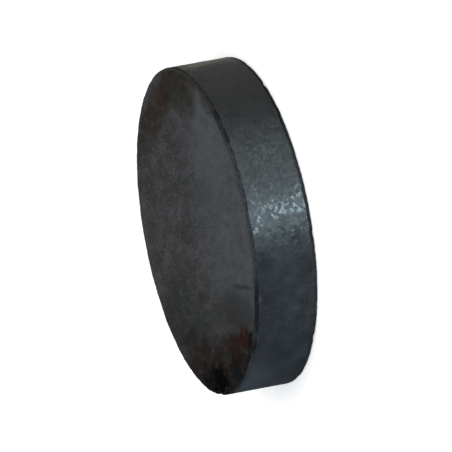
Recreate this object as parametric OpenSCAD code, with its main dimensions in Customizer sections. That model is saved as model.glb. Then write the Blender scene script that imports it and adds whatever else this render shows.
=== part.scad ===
// Ferrite disc magnet: a hard ceramic disc, magnetised through its thickness.
//
// The disc is pressed from powder, fired, and then ground on its two pole faces only.
// So the faces are flat and parallel, the rim keeps the size it had out of the kiln, and
// the brittle edges are lightly broken and carry small shell-shaped chips.
//
// It lies on one pole face, with its axis on Z and the middle of that face at the origin.
// Angles are counted from +X towards +Y.

/* [Disc] */
// Outside diameter of the fired disc
disc_diameter = 25; // [10:0.5:60]
// Thickness between the two ground pole faces
disc_thickness = 5; // [2:0.5:20]

/* [Edges] */
// Radius of the break that runs along both edges
edge_break = 0.2; // [0.05:0.05:0.5]
// Which edges carry chips
chipped_edges = "both"; // [both, upper, lower, none]
// Size of the chips, where 1 is a disc that has been knocked about a little
chip_size = 1; // [0.5:0.1:2]

/* [Finish] */
// Colour of the fired ferrite
ferrite_grey = [0.24, 0.25, 0.26]; // [0:0.01:1]

/* [Hidden] */
$fn = 144;

disc_radius = disc_diameter / 2;

// Chips as [angle, length along the edge, depth from the sharp corner, lean].
// A lean of 45 degrees takes as much from the face as from the rim, less takes more
// from the rim, and more takes a flake off the face.
upper_chips = [
    [-38, 0.6, 0.17, 45],
    [-45, 1.2, 0.27, 35],
    [-57, 0.9, 0.19, 50],
    [-62, 1.1, 0.20, 40],
    [-68, 0.5, 0.16, 45],
    [-77, 0.8, 0.22, 45],
    [-82, 0.7, 0.18, 55],
    [-97, 0.5, 0.15, 45],
    [-118, 1.0, 0.25, 30],
    [-127, 0.5, 0.16, 50],
    [-134, 1.2, 0.26, 55],
    [-147, 0.6, 0.17, 45],
    [-176, 2.4, 0.30, 70],
    [-186, 1.6, 0.24, 60],
];
lower_chips = [
    [-37, 0.9, 0.20, 45],
    [-71, 0.6, 0.16, 45],
    [-98, 1.1, 0.22, 40],
    [-104, 0.6, 0.17, 50],
    [-139, 1.0, 0.22, 45],
];

// Radius of the ball whose surface leaves a hollow of this length and depth in an edge
function scoop_radius(length, depth) = (length * length / 4 + depth * depth) / (2 * depth);

// Half of the disc's section, right of its axis: sharp corners are replaced by true arcs
module disc_section() {
    square([disc_radius - edge_break, disc_thickness]);
    translate([0, edge_break])
        square([disc_radius, disc_thickness - 2 * edge_break]);
    for (height = [edge_break, disc_thickness - edge_break])
        translate([disc_radius - edge_break, height])
            circle(r = edge_break);
}

// The ball that scoops one chip out of the upper edge
module chip_scoop(angle, length, depth, lean) {
    ball = scoop_radius(length, depth);
    rotate([0, 0, angle])
        translate([disc_radius, 0, disc_thickness])
            rotate([0, -lean, 0])
                translate([ball - depth, 0, 0])
                    sphere(r = ball);
}

// All the scoops of one edge, as if it were the upper one
module edge_chips(chips) {
    for (chip = chips)
        chip_scoop(chip[0], chip_size * chip[1], chip_size * chip[2], chip[3]);
}

// The whole magnet
module disc_magnet() {
    color(ferrite_grey)
        difference() {
            rotate_extrude()
                disc_section();
            if (chipped_edges == "both" || chipped_edges == "upper")
                edge_chips(upper_chips);
            if (chipped_edges == "both" || chipped_edges == "lower")
                translate([0, 0, disc_thickness])
                    mirror([0, 0, 1])
                        edge_chips(lower_chips);
        }
}

disc_magnet();
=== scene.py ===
# %% [markdown]
# # A ferrite disc magnet
#
# A hard-ferrite magnet starts as black powder, pressed into a disc and fired like a pot. Only its
# two pole faces are then ground, so one small object carries three surfaces: a dull ground face, a
# rim with the slightly leathery skin it got in the kiln, and a brittle edge between them that
# crumbles and chips.
#
# The plan is to take the size from the packed CAD frame, model the disc once more as a dense mesh
# that has those small irregularities as real geometry, and give each of its three surfaces a
# finish of its own.

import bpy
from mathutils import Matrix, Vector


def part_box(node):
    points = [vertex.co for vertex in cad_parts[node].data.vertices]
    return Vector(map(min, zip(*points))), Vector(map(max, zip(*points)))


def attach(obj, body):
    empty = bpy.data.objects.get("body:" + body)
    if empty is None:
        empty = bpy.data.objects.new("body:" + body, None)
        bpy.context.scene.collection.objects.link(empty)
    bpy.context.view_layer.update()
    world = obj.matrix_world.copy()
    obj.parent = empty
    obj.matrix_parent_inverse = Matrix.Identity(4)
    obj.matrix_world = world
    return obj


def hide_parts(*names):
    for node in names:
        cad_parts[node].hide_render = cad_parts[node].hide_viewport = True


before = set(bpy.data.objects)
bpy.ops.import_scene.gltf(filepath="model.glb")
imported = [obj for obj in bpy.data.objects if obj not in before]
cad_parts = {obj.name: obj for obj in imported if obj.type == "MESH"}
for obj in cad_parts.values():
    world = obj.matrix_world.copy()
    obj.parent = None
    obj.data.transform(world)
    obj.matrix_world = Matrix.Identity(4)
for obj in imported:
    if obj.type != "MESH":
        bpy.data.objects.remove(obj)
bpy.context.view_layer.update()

import math

import bpy
import numpy as np
from mathutils import Quaternion, Vector, noise

print("CAD nodes:", sorted(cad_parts))

# %% [markdown]
# ## Sizes
#
# Blender works in metres, but a disc this small is easier to think about in millimetres. The
# radius and the thickness are read from the CAD node, so the detailed disc can't drift away from
# the construction. Everything below is modelled in millimetres and scaled once, at the end.

# %% Read the sizes
MM = 0.001
low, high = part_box("disc_magnet")
RADIUS = round((high.x - low.x) / 2 / MM, 2)
THICKNESS = round((high.z - low.z) / MM, 2)
TOP, BOTTOM = 1, -1
print(f"disc of {2 * RADIUS} mm by {THICKNESS} mm")

# %% [markdown]
# ## A random height that can be repeated
#
# Nothing on a fired part is perfectly even, so most shapes below ask for a little noise. Blender's
# Perlin noise is smooth, and it depends only on the place that it is asked about, so the disc comes
# out the same every time. Asking for it by wavelength, in millimetres, keeps the numbers readable.

# %% Noise by wavelength
SEED_SHIFT = Vector((17.3, 5.1, 9.7))  # each seed looks at another part of the same noise


def wander(place, wavelength, seed, octaves=3):
    """A smooth random number, about -1 to 1, that changes over this many millimetres."""
    shifted = Vector(place) / wavelength + SEED_SHIFT * seed
    return noise.fractal(shifted, 1.0, 2.0, octaves)


def bell(value, middle, spread):
    """1 at the middle, falling smoothly to almost nothing two spreads away."""
    return math.exp(-(((value - middle) / spread) ** 2))


print("noise at the origin:", round(wander((0, 0, 0), 1, 1), 3))

# %% [markdown]
# ## The broken edge
#
# Grinding leaves a sharp corner, and a sharp corner of ceramic doesn't last: it crumbles into a
# narrow, uneven edge break. A Bevel modifier would make it the same width all round, which is what
# gives a computer model away. Here the width is worked out for each angle, from a slow and a quick
# noise. One stretch of the upper edge has been rubbed more than the rest, and another was spared.

# %% Width of the edge break at each angle
TURN_STEPS = 1000
MEAN_BREAK = 0.17  # in mm
BREAK_SWINGS = [(4, 0.25, 1), (0.9, 0.30, 2), (0.3, 0.22, 4)]  # wavelength in mm, share, seed
EDGES_APART = 7  # far enough in the noise that the two edges differ
# middle and spread in degrees, and the share of the width that is added or taken away
RUBBED_MIDDLE, RUBBED_SPREAD, RUBBED_MORE = -51, 13, 0.35
SPARED_MIDDLE, SPARED_SPREAD, SPARED_LESS = -88, 8, 0.4
angles = np.linspace(-math.pi, math.pi, TURN_STEPS, endpoint=False)


def edge_break(angle, side):
    """Width of the break of the upper or lower edge at this angle, in millimetres."""
    on_edge = (RADIUS * math.cos(angle), RADIUS * math.sin(angle), EDGES_APART * side)
    share = 1
    for wavelength, swing, seed in BREAK_SWINGS:
        share += swing * wander(on_edge, wavelength, seed)
    if side == TOP:
        share += RUBBED_MORE * bell(math.degrees(angle), RUBBED_MIDDLE, RUBBED_SPREAD)
        share -= SPARED_LESS * bell(math.degrees(angle), SPARED_MIDDLE, SPARED_SPREAD)
    return MEAN_BREAK * share


breaks = {side: np.array([edge_break(a, side) for a in angles]) for side in (TOP, BOTTOM)}
for side, widths in breaks.items():
    print(f"edge {side:+d}: {widths.min():.2f} to {widths.max():.2f} mm")

# %% [markdown]
# ## Rings along the section
#
# The disc could be a cylinder primitive, cut up and displaced, but then its triangles would be
# spread evenly and most would be wasted on the flat faces. Instead the section is walked once, from
# the middle of the upper face, over the edges and the rim, to the middle of the lower face. Each
# stop makes a ring of points. The rings are close together near the edges, where the detail is, and
# far apart on the ground faces, which are flat.

# %% Rings of points, with the direction that faces out of the disc
FACE_RADII = [1.5, 3.5, 5.5, 7.5, 9.2, 10.4]  # in mm, like the next value
EDGE_ZONE = 1.25  # the strip of the face beside the break that has rings of its own
CROWDING = 1.5  # over 1 draws those rings together towards the break
EDGE_ZONE_RINGS, BREAK_RINGS, RIM_RINGS = 15, 7, 36


def ring(radius, height, out_r, out_z, zone):
    """Points and outward directions all round, where each argument may vary with the angle."""
    radius, height, out_r, out_z = (v * np.ones(TURN_STEPS) for v in (radius, height, out_r, out_z))
    across, along = np.cos(angles), np.sin(angles)
    points = np.stack([radius * across, radius * along, height], axis=1)
    normals = np.stack([out_r * across, out_r * along, out_z], axis=1)
    return points, normals, zone


def face_rings(side):
    """The flat pole face, from its middle out to the break."""
    height = THICKNESS if side == TOP else 0
    rings = [ring(r, height, 0, side, "face") for r in FACE_RADII]
    for share in np.linspace(1, 0, EDGE_ZONE_RINGS, endpoint=False):
        inside = breaks[side] + EDGE_ZONE * share ** CROWDING
        rings.append(ring(RADIUS - inside, height, 0, side, "face"))
    return rings


def break_rings(side):
    """The rounded break, from the face to the rim."""
    width = breaks[side]
    corner = THICKNESS - width if side == TOP else width
    rings = []
    for turned in np.linspace(0, math.pi / 2, BREAK_RINGS):
        out_r, out_z = math.sin(turned), side * math.cos(turned)
        rings.append(ring(RADIUS - width + width * out_r, corner + width * out_z, out_r, out_z, "edge"))
    return rings


def rim_rings():
    """The straight rim between the two breaks."""
    upper, lower = THICKNESS - breaks[TOP], breaks[BOTTOM]
    shares = np.linspace(0, 1, RIM_RINGS + 2)[1:-1]
    return [ring(RADIUS, upper + (lower - upper) * share, 1, 0, "rim") for share in shares]


rings = face_rings(TOP) + break_rings(TOP) + rim_rings()
rings += break_rings(BOTTOM)[::-1] + face_rings(BOTTOM)[::-1]
points = np.concatenate([r[0] for r in rings])
normals = np.concatenate([r[1] for r in rings])
zones = [r[2] for r in rings]
print(len(rings), "rings of", TURN_STEPS, "points")

# %% [markdown]
# ## Relief of the three surfaces
#
# A fired rim looks a little like leather: it swells and sinks by about a hundredth of a millimetre,
# in lumps from half a millimetre to six millimetres wide, which is enough to make a reflection
# wander. A Displace modifier could do it with a texture, but each surface needs its own height and
# grain, so each point is moved here along its own outward direction. The ground face stays almost
# flat, and the edge is the roughest. Grinding came last, so nothing is left above the two faces.

# %% Move each point out or in by its relief
# wavelength and height of each noise, in millimetres
RELIEF = {
    "face": [(2.5, 0.0010)],
    "edge": [(1.1, 0.020), (0.28, 0.016)],
    "rim": [(6.0, 0.012), (1.3, 0.0085), (0.42, 0.0030)],
}
RELIEF_SEED = 3


def relief(place, zone):
    """Height of the surface above the plain shape at this place, in millimetres."""
    return sum(
        height * wander(place, wavelength, seed, octaves=2)
        for seed, (wavelength, height) in enumerate(RELIEF[zone], start=RELIEF_SEED)
    )


heights = np.array([relief(p, zones[i // TURN_STEPS]) for i, p in enumerate(points)])
points += normals * heights[:, None]
points[:, 2] = np.clip(points[:, 2], 0, THICKNESS)
print(f"relief from {heights.min() * 1000:.0f} to {heights.max() * 1000:.0f} microns")

# %% [markdown]
# ## Chips
#
# A knock takes a shell-shaped flake out of a ceramic edge. Subtracting balls with a Boolean would
# be the first idea, but it leaves a knife-sharp, perfectly round bite. Pushing the points that lie
# inside a ball out to its surface makes the same hollow, keeps the even mesh, and lets a little
# noise roughen the broken stone. The list is the one in the CAD source: angle, length along the
# edge, depth from the sharp corner, and lean, where more than 45 degrees takes more off the face.

# %% Push the scoops into the edges
UPPER_CHIPS = [
    (-38, 0.6, 0.17, 45),
    (-45, 1.2, 0.27, 35),
    (-57, 0.9, 0.19, 50),
    (-62, 1.1, 0.20, 40),
    (-68, 0.5, 0.16, 45),
    (-77, 0.8, 0.22, 45),
    (-82, 0.7, 0.18, 55),
    (-97, 0.5, 0.15, 45),
    (-118, 1.0, 0.25, 30),
    (-127, 0.5, 0.16, 50),
    (-134, 1.2, 0.26, 55),
    (-147, 0.6, 0.17, 45),
    (-176, 2.4, 0.30, 70),
    (-186, 1.6, 0.24, 60),
]
LOWER_CHIPS = [
    (-37, 0.9, 0.20, 45),
    (-71, 0.6, 0.16, 45),
    (-98, 1.1, 0.22, 40),
    (-104, 0.6, 0.17, 50),
    (-139, 1.0, 0.22, 45),
]
FRACTURE_SWING, FRACTURE_WAVELENGTH, FRACTURE_SEED = 0.035, 0.35, 11
NEARBY = 1.1  # only points within this many ball radii are looked at
MOSTLY = 3  # a four-sided face counts as chipped when this many of its points were moved
chipped = np.zeros(len(points), bool)


def scoop(angle, length, depth, lean, side):
    """Hollows out one chip, and marks the points that it moved."""
    ball = (length ** 2 / 4 + depth ** 2) / (2 * depth)
    turn, tilt = math.radians(angle), math.radians(lean)
    outward = np.array([math.cos(turn), math.sin(turn), 0.0])
    upward = np.array([0.0, 0.0, side])
    corner = RADIUS * outward + np.array([0, 0, THICKNESS if side == TOP else 0])
    centre = corner + (ball - depth) * (math.cos(tilt) * outward + math.sin(tilt) * upward)
    reach = np.linalg.norm(points - centre, axis=1)
    for i in np.flatnonzero(reach < ball * NEARBY):
        fracture = wander(points[i], FRACTURE_WAVELENGTH, FRACTURE_SEED)
        rough_ball = ball * (1 + FRACTURE_SWING * fracture)
        if reach[i] < rough_ball:
            points[i] = centre + (points[i] - centre) * rough_ball / reach[i]
            chipped[i] = True


for chip in UPPER_CHIPS:
    scoop(*chip, TOP)
for chip in LOWER_CHIPS:
    scoop(*chip, BOTTOM)
print(len(UPPER_CHIPS) + len(LOWER_CHIPS), "chips moved", int(chipped.sum()), "points")

# %% [markdown]
# ## From rings to a mesh
#
# Each ring is joined to the next with a belt of four-sided faces, and the two smallest rings are
# closed with a fan round a middle point. Every face remembers which surface it belongs to, so the
# three finishes meet exactly where the real ones do.

# %% Build the mesh
FINISHES = ["face", "rim", "edge"]


def belt(k):
    """The faces between ring k and the next one, each as four point numbers."""
    first = k * TURN_STEPS + np.arange(TURN_STEPS)
    second = k * TURN_STEPS + (np.arange(TURN_STEPS) + 1) % TURN_STEPS
    return np.stack([first, first + TURN_STEPS, second + TURN_STEPS, second], axis=1)


def finish_of(corners, k):
    """Which finish a face between rings k and k + 1 has."""
    if chipped[corners].sum() >= MOSTLY or "edge" in (zones[k], zones[k + 1]):
        return FINISHES.index("edge")
    return FINISHES.index(zones[k])


faces, finishes = [], []
for k in range(len(rings) - 1):
    for corners in belt(k):
        faces.append(corners.tolist())
        finishes.append(finish_of(corners, k))

middles = [len(points), len(points) + 1]
points = np.vstack([points, [0, 0, THICKNESS], [0, 0, 0]])
last = (len(rings) - 1) * TURN_STEPS
for i in range(TURN_STEPS):
    j = (i + 1) % TURN_STEPS
    faces += [[middles[0], i, j], [middles[1], last + j, last + i]]
    finishes += [FINISHES.index("face")] * 2

mesh = bpy.data.meshes.new("ferrite_disc")
mesh.from_pydata((points * MM).tolist(), [], faces)
mesh.polygons.foreach_set("material_index", finishes)
mesh.polygons.foreach_set("use_smooth", [True] * len(faces))
mesh.update()
disc = bpy.data.objects.new("ferrite_disc", mesh)
bpy.context.scene.collection.objects.link(disc)
triangles = sum(len(f) - 2 for f in faces)
print("ferrite_disc:", len(mesh.vertices), "points,", triangles, "triangles")

# %% [markdown]
# ## A short way to write materials
#
# Blender materials are node trees. Written out call by call they get long, so this small class
# adds a node, sets its options and feeds its inputs in one line. Patterns are asked for in
# millimetres, from the object's own coordinates, so they stay put when the camera moves.

# %% Material helper
class Recipe:
    """A material made of nodes, with one short call for each."""

    def __init__(self, name):
        self.material = bpy.data.materials.new(name)
        self.material.use_nodes = True
        self.tree = self.material.node_tree
        self.tree.nodes.clear()
        place = self.add("ShaderNodeTexCoord").outputs["Object"]
        self.place = self.vector("SCALE", place, Scale=1 / MM)

    def add(self, kind, inputs=None, **options):
        """A new node with these options. Inputs are plain values or other nodes' outputs."""
        made = self.tree.nodes.new(kind)
        for key, value in options.items():
            setattr(made, key, value)
        for key, value in (inputs or {}).items():
            if isinstance(value, bpy.types.NodeSocket):
                self.tree.links.new(value, made.inputs[key])
            else:
                made.inputs[key].default_value = value
        return made

    def vector(self, operation, first, second=None, **inputs):
        """Vector maths."""
        inputs[0] = first
        if second is not None:
            inputs[1] = second
        return self.add("ShaderNodeVectorMath", inputs, operation=operation).outputs[
            "Value" if operation in ("LENGTH", "DISTANCE", "DOT_PRODUCT") else "Vector"
        ]

    def maths(self, operation, first, second=0.0):
        """Plain maths on one or two numbers."""
        return self.add("ShaderNodeMath", {0: first, 1: second}, operation=operation).outputs[0]

    def fade(self, value, start, end, low=0.0, high=1.0):
        """Goes smoothly from low to high as the value goes from start to end."""
        inputs = {"Value": value, "From Min": start, "From Max": end, "To Min": low, "To Max": high}
        made = self.add("ShaderNodeMapRange", inputs, interpolation_type="SMOOTHSTEP")
        return made.outputs["Result"]

    def grain(self, wavelength, detail=2.0, roughness=0.5, place=None):
        """Noise from 0 to 1 whose lumps are about this many millimetres across."""
        inputs = {"Vector": place or self.place, "Scale": 1 / wavelength}
        inputs.update({"Detail": detail, "Roughness": roughness})
        return self.add("ShaderNodeTexNoise", inputs).outputs["Fac"]

    def bend(self, reach, wavelength):
        """The place, pushed about by up to this many millimetres, to make outlines ragged."""
        push = self.add("ShaderNodeTexNoise", {"Vector": self.place, "Scale": 1 / wavelength, "Detail": 4.0})
        push = self.vector("SUBTRACT", push.outputs["Color"], (0.5, 0.5, 0.5))
        return self.vector("ADD", self.place, self.vector("SCALE", push, Scale=2 * reach))

    def blend(self, share, first, second):
        """A colour between two others."""
        made = self.add("ShaderNodeMix", {0: share, 6: first, 7: second}, data_type="RGBA")
        return made.outputs[2]

    def bumps(self, height, depth, below=None):
        """Makes the surface look raised by height, 0 to 1, times depth in millimetres."""
        inputs = {"Height": height, "Distance": depth * MM, "Strength": 1.0}
        if below is not None:
            inputs["Normal"] = below
        return self.add("ShaderNodeBump", inputs).outputs["Normal"]

    def done(self, colour, roughness, normal, **constants):
        """Ends the recipe in a Principled shader, and returns the material."""
        inputs = {"Base Color": colour, "Roughness": roughness, "Normal": normal}
        shader = self.add("ShaderNodeBsdfPrincipled", {**inputs, **constants})
        output = self.add("ShaderNodeOutputMaterial")
        self.tree.links.new(shader.outputs[0], output.inputs["Surface"])
        print(self.material.name, "has", len(self.tree.nodes), "nodes")
        return self.material


print("recipe calls:", [name for name in vars(Recipe) if not name.startswith("_")])

# %% [markdown]
# ## Colours by their everyday numbers
#
# A paint program spaces its 256 steps for the eye, but a shader counts light itself, where a middle
# grey is only a fifth of white. Dark ceramic lives in the lowest steps, so the colours are written
# in the everyday numbers, and one function turns them into light with the standard sRGB formula.

# %% Tone helper
def tone(red, green, blue):
    """A colour as a shader wants it, from the 0 to 255 numbers of a paint program."""
    shares = [c / 255 for c in (red, green, blue)]
    return [s / 12.92 if s < 0.04045 else ((s + 0.055) / 1.055) ** 2.4 for s in shares] + [1.0]


print("a middle grey is", round(tone(128, 128, 128)[0], 3), "to a shader")

# %% [markdown]
# ## The ground pole face
#
# Grinding opens the fine grain of the ceramic, so the face is dull and mottled, and a little
# lighter than the rim. Handling and damp have stained it tan and brown along one side, brown
# opposite, and with a touch of rust. The face is also lighter and bluer towards -Y and darker
# towards -X, with an almost black patch at that edge. They could be painted into an image, but
# ovals whose outlines are bent by noise stay sharp at any distance and need no file. One table
# holds them all, so a mark can be moved or changed in one line.
#
# The wheel passed along Y, so the mottle is drawn out that way. A ground face scatters what it
# reflects so widely that it stays dull at a low angle too, and a low index of refraction does the
# same in the shader, which also keeps the black patch black.

# %% Stains and lighter and darker patches of the upper face
# colour, strength, middle, size along x and y in mm, turn in degrees, softness of the outline;
# a strength over 1 is for a mark so strong that it hides the mottle
STAINS = {
    # The five entries that follow make the face lighter and bluer towards -Y and darker towards -X.
    "lighter side": ((88, 93, 97), 0.54, (0.5, -9.5), (17, 13), 0, 1.7),
    "lighter corner": ((88, 91, 94), 0.5, (6.8, -6.4), (5.5, 7), 35, 1.3),
    "darker belt": ((43, 44, 43), 0.5, (-8.3, -1.5), (7, 26), -4, 1.0),
    "darker side": ((43, 45, 43), 0.6, (-6.2, 7.4), (6, 9), 30, 1.3),
    "darker corner": ((46, 45, 45), 0.6, (-6.6, -6.2), (3.4, 6), 0, 1.2),
    "grey spot": ((33, 34, 33), 0.8, (-7.8, 5.9), (1.3, 3.4), 10, 1.0),
    "tan": ((51, 45, 39), 1.0, (9.2, 4.6), (2.8, 12), 22, 0.9),
    "red brown": ((47, 37, 32), 0.95, (10.7, 1.3), (1.5, 5.5), 22, 0.9),
    "olive rim": ((46, 43, 36), 1.0, (11.7, -2.9), (2.8, 8.6), -8, 0.9),
    "olive lobe": ((48, 45, 41), 0.85, (9.8, -2.6), (1.9, 5.5), -10, 1.0),
    "smudge": ((40, 40, 40), 0.6, (9.2, -8.2), (1.4, 3.0), -40, 0.9),
    "brown": ((38, 34, 31), 1.05, (-11.6, 0.5), (6.2, 18), 0, 0.8),
    "brown lobe": ((40, 34, 31), 0.85, (-9.2, 4.2), (2.0, 6.5), 12, 0.9),
    "dark red": ((40, 30, 26), 1.05, (-9.2, -4.6), (2.2, 5), -14, 0.9),
    "rust": ((45, 27, 19), 1.25, (-8.4, -7.1), (1.7, 2.7), 20, 0.8),
    "dark by the rust": ((22, 21, 20), 1.2, (-9.6, -7.9), (1.4, 4.2), 42, 0.7),
    "dark brown": ((30, 24, 21), 1.0, (-10.5, -3.6), (1.3, 5.6), 12, 0.9),
    "blue black": ((21, 22, 24), 1.6, (-11.9, -2.9), (1.6, 6.2), 16, 0.8),
    "black crumbs": ((20, 19, 19), 1.2, (-11.2, 2.4), (2.2, 3.6), -16, 0.9),
    "black lobe": ((15, 12, 12), 1.1, (-10.8, -0.1), (1.5, 2.2), 0, 1.4),
    "black": ((5, 5, 5), 1.4, (-12.2, 0.2), (2.8, 4.0), 0, 1.2),
}

print(len(STAINS), "stains")

# %% Finish of the ground faces
LAY = 2.2  # how many times longer a mark is along the grinding than across it
CLOUD, MOTTLE, SPECKLE = 2.6, 0.8, 0.2  # how wide the light and dark marks are, in mm
FACE_IOR = 1.05  # index of refraction
SCRATCH = ((-4.7, -8.6), (0.4, 3.8), -6, 1.3)  # middle, size, turn and softness, as for a stain
NO_LIMIT = 1000  # makes an oval so tall that it doesn't end above or below the face


def patch(recipe, place, middle, size, turn, softness):
    """1 inside an oval on the face, 0 outside, measured from an already bent place."""
    oval = {"Location": (*middle, 0), "Rotation": (0, 0, math.radians(turn))}
    oval.update({"Vector": place, "Scale": (size[0] / 2, size[1] / 2, NO_LIMIT)})
    mapping = recipe.add("ShaderNodeMapping", oval, vector_type="TEXTURE")
    distance = recipe.vector("LENGTH", mapping.outputs["Vector"])
    return recipe.fade(distance, 1 + softness / 2, 1 - softness / 2)


def ground_face():
    """The dull, mottled, stained finish of the pole faces."""
    r = Recipe("ferrite ground face")
    lay = r.vector("MULTIPLY", r.place, (1, 1 / LAY, 1))
    cloud, mottle = r.grain(CLOUD, 3, place=lay), r.grain(MOTTLE, 3, 0.55, place=lay)
    speckle = r.grain(SPECKLE, 3, 0.6, place=lay)
    colour = r.blend(r.fade(cloud, 0.3, 0.7), tone(58, 59, 58), tone(70, 69, 71))
    colour = r.blend(r.fade(mottle, 0.45, 0.75, 0, 0.6), colour, tone(82, 82, 85))
    colour = r.blend(r.fade(mottle, 0.55, 0.25, 0, 0.6), colour, tone(48, 49, 48))
    colour = r.blend(r.fade(speckle, 0.45, 0.75, 0, 0.5), colour, tone(88, 89, 91))
    colour = r.blend(r.fade(speckle, 0.55, 0.25, 0, 0.4), colour, tone(47, 47, 47))
    height = r.add("ShaderNodeSeparateXYZ", {0: r.place}).outputs["Z"]
    upper_only = r.fade(height, THICKNESS / 2 - 0.1, THICKNESS / 2 + 0.1)
    worn = r.fade(r.grain(0.6, 3, 0.6, place=lay), 0.32, 0.6, 0.5, 1.0)
    uneven = r.maths("MULTIPLY", upper_only, worn)
    ragged = r.bend(1.1, 1.6)
    for tint, strength, *oval in STAINS.values():
        share = r.maths("MULTIPLY", patch(r, ragged, *oval), uneven)
        colour = r.blend(r.maths("MULTIPLY", share, strength), colour, tone(*tint))
    scratch = r.maths("MULTIPLY", patch(r, r.bend(0.1, 1.5), *SCRATCH), upper_only)
    colour = r.blend(r.maths("MULTIPLY", scratch, 0.6), colour, tone(38, 35, 36))
    roughness = r.fade(cloud, 0.3, 0.7, 0.85, 0.75)
    return r.done(colour, roughness, r.bumps(speckle, 0.008), IOR=FACE_IOR)


# %% [markdown]
# ## Marks that run over the corner
#
# Marks don't stop where one surface ends. Towards +X the rim and the edge turn tan, beside the tan
# stain of the face; this tan is painted warm reflection. The upper corner has a dark patch and a
# dark notch beside the rust, both over chips, and a pale rub. If each finish had marks of its own
# they would never quite meet, so the finishes of the rim and of the edge call one function, which
# measures from the same places in space.

# %% Marks shared by the rim and the edge
PAINTED_WARM_STARTS, PAINTED_WARM_FULL, PAINTED_WARM_STRENGTH = 5.5, 11.0, 0.85  # from the middle of the disc towards +X, in mm
# colour, strength, angle on the upper corner, and how far it reaches from there in mm
CORNER_MARKS = {
    # The dark patch and the dark notch lie over chips of the upper edge.
    "dark patch": ((24, 25, 27), 0.85, -121, 3.2),
    "dark notch": ((20, 19, 18), 0.75, -137, 1.2),
    "pale rub": ((70, 75, 79), 0.85, -158, 3.4),
}


def shared_marks_and_painted_warmth(r, colour):
    """Painted warm reflection towards +X and the upper corner's marks, on the rim and the edge alike."""
    # Painted warm reflection: the rim and the edge turn tan towards +X, beside the tan stain of the face.
    towards_x = r.vector("DOT_PRODUCT", r.bend(1.0, 2.0), (1, 0, 0))
    painted_warm_tint = r.fade(towards_x, PAINTED_WARM_STARTS, PAINTED_WARM_FULL, 0, PAINTED_WARM_STRENGTH)
    colour = r.blend(painted_warm_tint, colour, tone(51, 47, 39))
    for tint, strength, angle, reach in CORNER_MARKS.values():
        turn = math.radians(angle)
        middle = (RADIUS * math.cos(turn), RADIUS * math.sin(turn), THICKNESS)
        distance = r.vector("DISTANCE", r.bend(0.8, 1.2), middle)
        share = r.fade(distance, reach, 0.3 * reach, 0, strength)
        colour = r.blend(share, colour, tone(*tint))
    return colour


print("corner marks:", ", ".join(CORNER_MARKS))

# %% [markdown]
# ## The fired rim
#
# The rim was never ground. It keeps a thin, dense skin with a steely sheen, darker and bluer than
# the face, and crystals a fifth of a millimetre across, which glint where the light is just right.
# Bumps alone would look hammered from every side. Here a Voronoi pattern cuts the skin into cells
# instead, each cell leans a little its own way, and only some of them are smooth enough to glint.
# Away from the highlight they all but vanish, as the real ones do. The whole pattern can be shifted
# to choose which crystals lie in the highlight.

# %% Finish of the rim
CRYSTAL = 0.2  # how wide a crystal is, in mm
CRYSTAL_SHIFT = (-27, 24, -29)  # in mm
LEAN = 0.12  # 0 lets no crystal lean
DULL_SKIN, GLINTING_SKIN = 0.44, 0.315  # roughness
RIM_IOR = 1.8


def fired_rim():
    """The dark, steely, faintly glittering skin of the rim."""
    r = Recipe("ferrite fired rim")
    cloud, smear = r.grain(1.2, 3, 0.6), r.grain(6, 2)
    colour = r.blend(r.fade(cloud, 0.3, 0.7), tone(32, 35, 37), tone(54, 57, 59))
    colour = r.blend(r.fade(smear, 0.5, 0.7, 0, 0.5), colour, tone(34, 36, 38))
    colour = r.blend(r.fade(r.grain(2.4, 3), 0.5, 0.7, 0, 0.5), colour, tone(47, 44, 47))
    colour = shared_marks_and_painted_warmth(r, colour)
    crystals = r.vector("ADD", r.bend(0.08, 0.2), CRYSTAL_SHIFT)
    cells = r.add("ShaderNodeTexVoronoi", {"Vector": crystals, "Scale": 1 / CRYSTAL})
    leaning = r.vector("SUBTRACT", cells.outputs["Color"], (0.5, 0.5, 0.5))
    leaning = r.vector("SCALE", leaning, Scale=LEAN)
    outward = r.add("ShaderNodeNewGeometry").outputs["Normal"]
    outward = r.vector("NORMALIZE", r.vector("ADD", outward, leaning))
    chance = r.add("ShaderNodeSeparateXYZ", {0: cells.outputs["Color"]}).outputs["Z"]
    chance = r.maths("ADD", chance, r.fade(r.grain(1.1, 2, place=crystals), 0.35, 0.65, -0.45, 0.45))
    roughness = r.fade(chance, 0.45, 1.0, DULL_SKIN, GLINTING_SKIN)
    fine = r.bumps(r.grain(0.12, 2), 0.008, below=outward)
    return r.done(colour, roughness, fine, IOR=RIM_IOR)


# %% [markdown]
# ## The broken edge
#
# Broken ferrite is matt and grainy. The same finish serves the edge break and the hollows of the
# chips, because both are fracture. It is close to the surfaces that it joins, with a few lighter
# crumbs, and it shares the rim's marks and its painted warm reflection. Where the edge was rubbed
# most it is dark with grime. The black of the face creeps half-way over it, and in the middle all
# the way.

# %% Finish of the broken edge and the chips
GRIME_SPREADS = (1.2, 0.3)  # where the grime starts and is full, in spreads of the rubbed stretch
CREEP_STARTS, CREEP_FULL = 8.4, 9.8  # from the middle of the disc towards -X, in mm
CREEP_AROUND, CREEP_AT_SPOT = 0.12, 0.6  # how far down from the face the black reaches, in mm
SPOT_MIDDLE = (-RADIUS, 0.5, THICKNESS)
SPOT_ENDS, SPOT_FULL = 2.6, 1.4  # from that middle, in mm
CREEP_SOFTNESS = 0.09  # in mm
EDGE_IOR = 1.2


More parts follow.
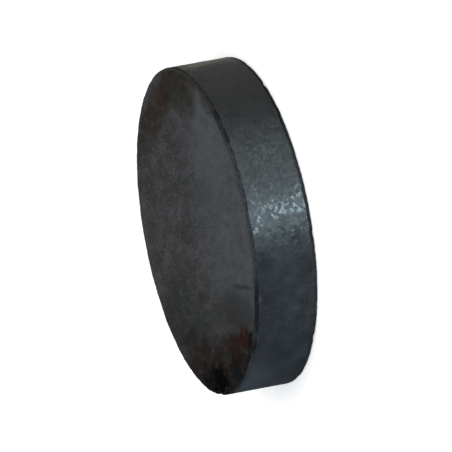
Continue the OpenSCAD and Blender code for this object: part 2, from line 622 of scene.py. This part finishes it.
def broken_edge():
    """Matt, grainy fracture, grimy along the rubbed stretch, and black beside the black of the face."""
    r = Recipe("ferrite broken edge")
    crumbs, patches = r.grain(0.16, 3, 0.7), r.grain(0.8, 2)
    colour = r.blend(r.fade(crumbs, 0.35, 0.7), tone(45, 48, 50), tone(73, 76, 78))
    colour = shared_marks_and_painted_warmth(r, colour)
    middle = math.radians(RUBBED_MIDDLE)
    towards = (math.cos(middle), math.sin(middle), 0)
    along = r.vector("DOT_PRODUCT", r.place, towards)
    start, full = (RADIUS * math.cos(math.radians(RUBBED_SPREAD * s)) for s in GRIME_SPREADS)
    rubbed = r.fade(along, start, full, 0.0, 0.8)
    grimy = r.maths("MULTIPLY", rubbed, r.fade(patches, 0.3, 0.6, 0.4, 1))
    colour = r.blend(grimy, colour, tone(22, 24, 25))
    height = r.add("ShaderNodeSeparateXYZ", {0: r.place}).outputs["Z"]
    ragged = r.bend(0.6, 1.0)
    towards_minus_x = r.vector("DOT_PRODUCT", ragged, (-1, 0, 0))
    from_spot = r.vector("DISTANCE", ragged, SPOT_MIDDLE)
    around, at_spot = THICKNESS - CREEP_AROUND, THICKNESS - CREEP_AT_SPOT
    down_to = r.fade(from_spot, SPOT_ENDS, SPOT_FULL, around, at_spot)
    reached = r.fade(height, down_to, r.maths("ADD", down_to, CREEP_SOFTNESS))
    blackened = r.maths("MULTIPLY", reached, r.fade(towards_minus_x, CREEP_STARTS, CREEP_FULL, 0.0, 0.95))
    colour = r.blend(blackened, colour, tone(9, 8, 8))
    roughness = r.fade(crumbs, 0.3, 0.7, 0.85, 0.7)
    return r.done(colour, roughness, r.bumps(crumbs, 0.02), IOR=EDGE_IOR)


# %% [markdown]
# ## Three finishes on one piece
#
# The real disc is a single lump of ferrite, so it stays a single object. Cutting it up by finish
# would leave open seams. The mesh takes three materials instead, and each of its faces already
# has the number of its own.

# %% Put the finishes on the disc
MAKERS = {"face": ground_face, "rim": fired_rim, "edge": broken_edge}
for finish in FINISHES:
    mesh.materials.append(MAKERS[finish]())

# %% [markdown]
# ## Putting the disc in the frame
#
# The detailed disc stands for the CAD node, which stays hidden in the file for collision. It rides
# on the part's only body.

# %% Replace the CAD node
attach(disc, "root")
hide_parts("disc_magnet")
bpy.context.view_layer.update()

# %% [markdown]
# ## Table and surroundings
#
# A plain white table that runs on into a white surrounding leaves nothing to look at but the
# magnet. To the camera both are white and the table still takes the disc's shadow. To everything
# else they are a soft grey, as in a room, so that the dark ceramic isn't washed out by reflections.

# %% White table
FLOOR_HALF = 3.0  # in metres, like the drop
FLOOR_DROP = 0.00002  # keeps the table just clear of the disc's own lower face
floor_mesh = bpy.data.meshes.new("floor")
corners = [(-FLOOR_HALF, -FLOOR_HALF, 0), (FLOOR_HALF, -FLOOR_HALF, 0)]
corners += [(FLOOR_HALF, FLOOR_HALF, 0), (-FLOOR_HALF, FLOOR_HALF, 0)]
floor_mesh.from_pydata(corners, [], [(0, 1, 2, 3)])
floor = bpy.data.objects.new("floor", floor_mesh)
floor.location.z = -FLOOR_DROP
floor.visible_shadow = False
bpy.context.scene.collection.objects.link(floor)
TABLE_WHITE, TABLE_GLOW = (0.85, 0.85, 0.85, 1), 0.45  # what the camera sees
TABLE_FELT = (0.12, 0.145, 0.17, 1)  # what the other rays meet


def white_table():
    """White with shadows to the camera, soft grey to every other ray."""
    material = bpy.data.materials.new("white table")
    material.use_nodes = True
    nodes, links = material.node_tree.nodes, material.node_tree.links
    nodes.clear()
    seen = nodes.new("ShaderNodeBsdfDiffuse")
    seen.inputs["Color"].default_value = TABLE_WHITE
    lift = nodes.new("ShaderNodeEmission")
    lift.inputs["Strength"].default_value = TABLE_GLOW
    both = nodes.new("ShaderNodeAddShader")
    links.new(seen.outputs[0], both.inputs[0])
    links.new(lift.outputs[0], both.inputs[1])
    felt = nodes.new("ShaderNodeBsdfDiffuse")
    felt.inputs["Color"].default_value = TABLE_FELT
    pick = nodes.new("ShaderNodeMixShader")
    rays = nodes.new("ShaderNodeLightPath")
    links.new(rays.outputs["Is Camera Ray"], pick.inputs[0])
    links.new(felt.outputs[0], pick.inputs[1])
    links.new(both.outputs[0], pick.inputs[2])
    output = nodes.new("ShaderNodeOutputMaterial")
    links.new(pick.outputs[0], output.inputs["Surface"])
    return material


floor_mesh.materials.append(white_table())
print("white table of", 2 * FLOOR_HALF, "m")

# %% White surrounding
ROOM_LIGHT, ROOM_STRENGTH = (0.97, 0.98, 1.0, 1), 0.14
world = bpy.data.worlds.new("white surrounding")
world.use_nodes = True
nodes, links = world.node_tree.nodes, world.node_tree.links
nodes.clear()
room = nodes.new("ShaderNodeBackground")
room.inputs["Color"].default_value = ROOM_LIGHT
room.inputs["Strength"].default_value = ROOM_STRENGTH
white = nodes.new("ShaderNodeBackground")
pick = nodes.new("ShaderNodeMixShader")
links.new(nodes.new("ShaderNodeLightPath").outputs["Is Camera Ray"], pick.inputs[0])
links.new(room.outputs[0], pick.inputs[1])
links.new(white.outputs[0], pick.inputs[2])
white.inputs["Color"].default_value = (1, 1, 1, 1)
links.new(pick.outputs[0], nodes.new("ShaderNodeOutputWorld").inputs["Surface"])
bpy.context.scene.world = world
print("white to the camera, and a grey of", ROOM_STRENGTH, "to the other rays")

# %% [markdown]
# ## Light
#
# The disc is seen as if it had been picked up and held by its rim, so its light doesn't all come
# from above the table. A broad soft lamp overhead lights the face and the table. The key is the
# small, bluish one: it comes from a little below the plane of the table, and draws the bright band
# along the rim. The shoulder is much broader and spreads that band further round, towards +X. The
# others are fill: cool on the near side, faintly warm on the far side, a small warm one behind the
# disc that skims over the rim, and a broad white one from the rear.
#
# All are sun lamps, because a sun lights everything evenly and its angle sets how soft it is. The
# table throws no shadow, or it would hide the low lamps, but it still shows the disc's shadow.
# Multiple importance sampling is off for the same reason: it also looks for a lamp along the
# mirrored ray, and there the table would be in the way.

# %% Lamps
def sun(name, azimuth, elevation, strength, angle, colour):
    """A soft far-off light. Azimuth 0 comes from -Y and 90 from +X, in degrees."""
    lamp = bpy.data.lights.new(name, "SUN")
    lamp.energy = strength
    lamp.angle = math.radians(angle)
    lamp.color = colour
    lamp.cycles.use_multiple_importance_sampling = False
    holder = bpy.data.objects.new(name, lamp)
    a, e = math.radians(azimuth), math.radians(elevation)
    towards = Vector((math.sin(a) * math.cos(e), -math.cos(a) * math.cos(e), math.sin(e)))
    holder.rotation_mode = "QUATERNION"
    holder.rotation_quaternion = towards.to_track_quat("Z", "Y")
    bpy.context.scene.collection.objects.link(holder)


# name, azimuth, elevation, strength, how wide the lamp looks in degrees, and colour
sun("overhead", 20, 65, 1.75, 50, (1.0, 1.0, 1.0))
sun("key", 4.0, -15, 0.73, 6, (0.69, 0.91, 1.0))
sun("shoulder", 40, -5, 0.45, 44, (0.92, 1.0, 0.99))
sun("near side", -64, 20, 0.70, 60, (0.70, 0.84, 1.0))
sun("far side", 118, 12, 0.10, 70, (1.0, 0.90, 0.80))
sun("behind", 153, -16, 0.04, 20, (1.0, 0.82, 0.64))
sun("rear", 180, 35, 0.5, 60, (1.0, 1.0, 1.0))

# %% [markdown]
# ## Camera
#
# The disc lies flat, but it is looked at as if it had been picked up and held by its rim: from a
# little above the plane of the face, with the camera rolled on its side, so that the face looks
# left and the rim runs off to the upper right. A long lens keeps the two ellipses almost alike.

# %% Camera
DISTANCE, ELEVATION, ROLL = 0.83, 18.5, -100.4  # in metres and degrees
PICTURE_WIDTH = 0.034  # what the picture spans at the disc, in metres
SENSOR_WIDTH = 36  # in millimetres, as the lens is
NEAREST, FARTHEST = 0.05, 20  # what the camera can see, in metres
camera_data = bpy.data.cameras.new("camera")
camera_data.sensor_width = SENSOR_WIDTH
camera_data.lens = SENSOR_WIDTH * DISTANCE / PICTURE_WIDTH
camera = bpy.data.objects.new("camera", camera_data)
bpy.context.scene.collection.objects.link(camera)
bpy.context.scene.camera = camera
back = Vector((0, -math.cos(math.radians(ELEVATION)), math.sin(math.radians(ELEVATION))))
target = Vector((0, 0, THICKNESS * MM / 2))
camera.location = target + back * DISTANCE
camera.rotation_mode = "QUATERNION"
upright = (-back).to_track_quat("-Z", "Y")
camera.rotation_quaternion = upright @ Quaternion((0, 0, 1), math.radians(ROLL))
camera_data.clip_start, camera_data.clip_end = NEAREST, FARTHEST
bpy.context.scene.view_settings.view_transform = "Standard"
print(f"camera {DISTANCE} m away with a {camera_data.lens:.0f} mm lens")

# %% [markdown]
